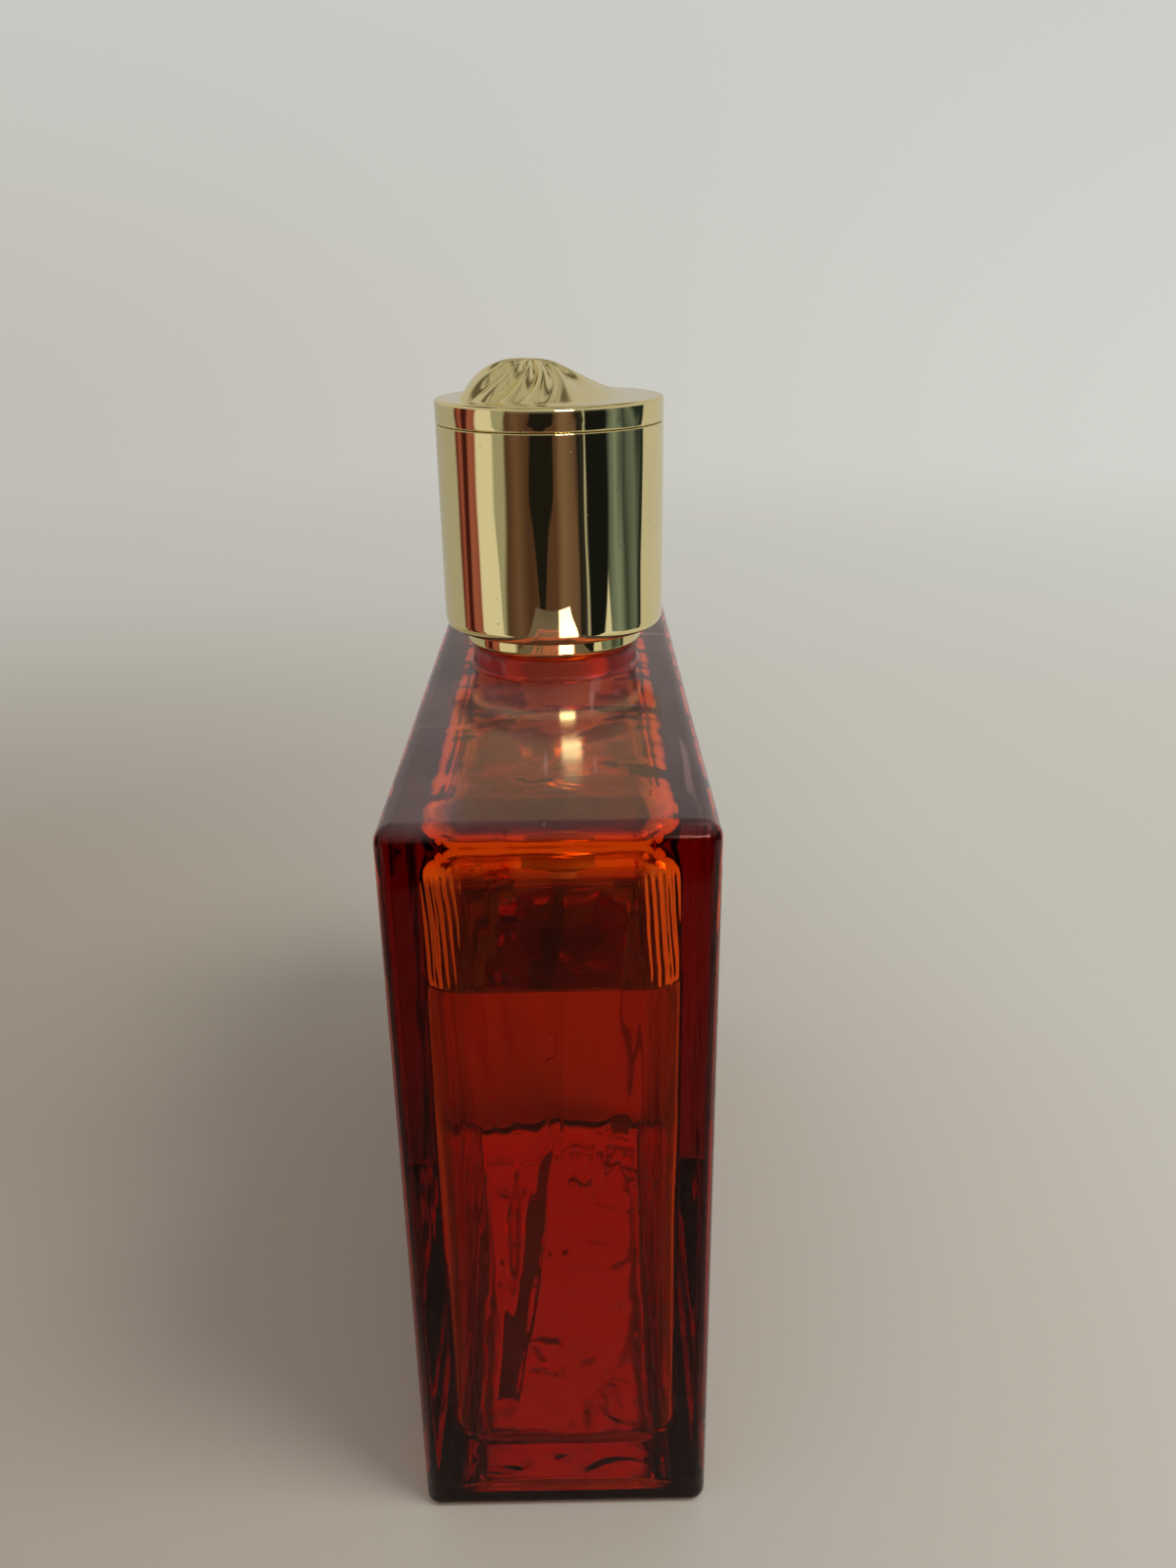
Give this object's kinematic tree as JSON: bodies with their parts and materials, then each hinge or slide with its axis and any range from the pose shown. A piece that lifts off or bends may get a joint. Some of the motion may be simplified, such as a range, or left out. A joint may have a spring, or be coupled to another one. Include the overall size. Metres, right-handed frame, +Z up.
{
  "type": "perfume bottle",
  "caption": "Broad red glass perfume flask with a crimped spray pump, a gold collar and a lift-off gold cap with a fan relief on top.",
  "frame": {"origin": "centre of the flask's base, on the surface it stands on", "axes": "+Z up along the neck, X along the broad face, Y through the thickness; the broad front face looks along -Y"},
  "size_m": [0.1, 0.03, 0.1144],
  "materials": {
    "red_glass": "polished, coloured in the mass",
    "perfume_liquid": "clear liquid",
    "clear_plastic": "translucent, smooth",
    "white_plastic": "moulded, satin",
    "ivory_plastic": "moulded, satin",
    "steel": "bright wire and plate",
    "black_rubber": "matte",
    "bare_aluminium": "bright",
    "collar_gold": "mirror, gold anodised",
    "cap_gold": "mirror, pale gold"
  },
  "bodies": {
    "bottle": {"glass_bottle": "red_glass", "perfume": "perfume_liquid", "dip_tube": "clear_plastic", "pump_housing": "white_plastic", "return_spring": "steel", "stem_gasket": "black_rubber", "turret": "white_plastic", "neck_gasket": "black_rubber", "ferrule": "bare_aluminium", "collar_clip": "white_plastic", "collar": "collar_gold"},
    "cap": {"cap_shell": "cap_gold", "cap_liner": "ivory_plastic", "cap_weight": "steel", "cap_top": "cap_gold"},
    "stem": {"stem": "white_plastic"},
    "piston": {"piston": "white_plastic"},
    "button": {"actuator_core": "ivory_plastic", "actuator_sleeve": "collar_gold", "nozzle_insert": "ivory_plastic"},
    "ball": {"inlet_ball": "steel"}
  },
  "joints": [
    {"name": "cap_lift", "type": "slide", "parent": "bottle", "child": "cap", "axis": [0, 0, 1], "range_m": [0, 0.045]},
    {"name": "press", "type": "slide", "parent": "bottle", "child": "stem", "axis": [0, 0, 1], "range_m": [-0.0042, 0], "stiffness_N_per_m": 900, "springref_m": 0.002, "deforming": ["return_spring"]},
    {"name": "button_turn", "type": "hinge", "parent": "stem", "child": "button", "pos_m": [0, 0, 0.098], "axis": [0, 0, 1], "continuous": true},
    {"name": "piston_slip", "type": "slide", "parent": "stem", "child": "piston", "axis": [0, 0, 1], "range_m": [0, 0.0006]},
    {"name": "ball_lift", "type": "slide", "parent": "bottle", "child": "ball", "axis": [0, 0, 1], "range_m": [0, 0.0005]}
  ],
  "couplings": [
    {"joint": "piston_slip", "follows": "press", "ratio": -0.142}
  ]
}
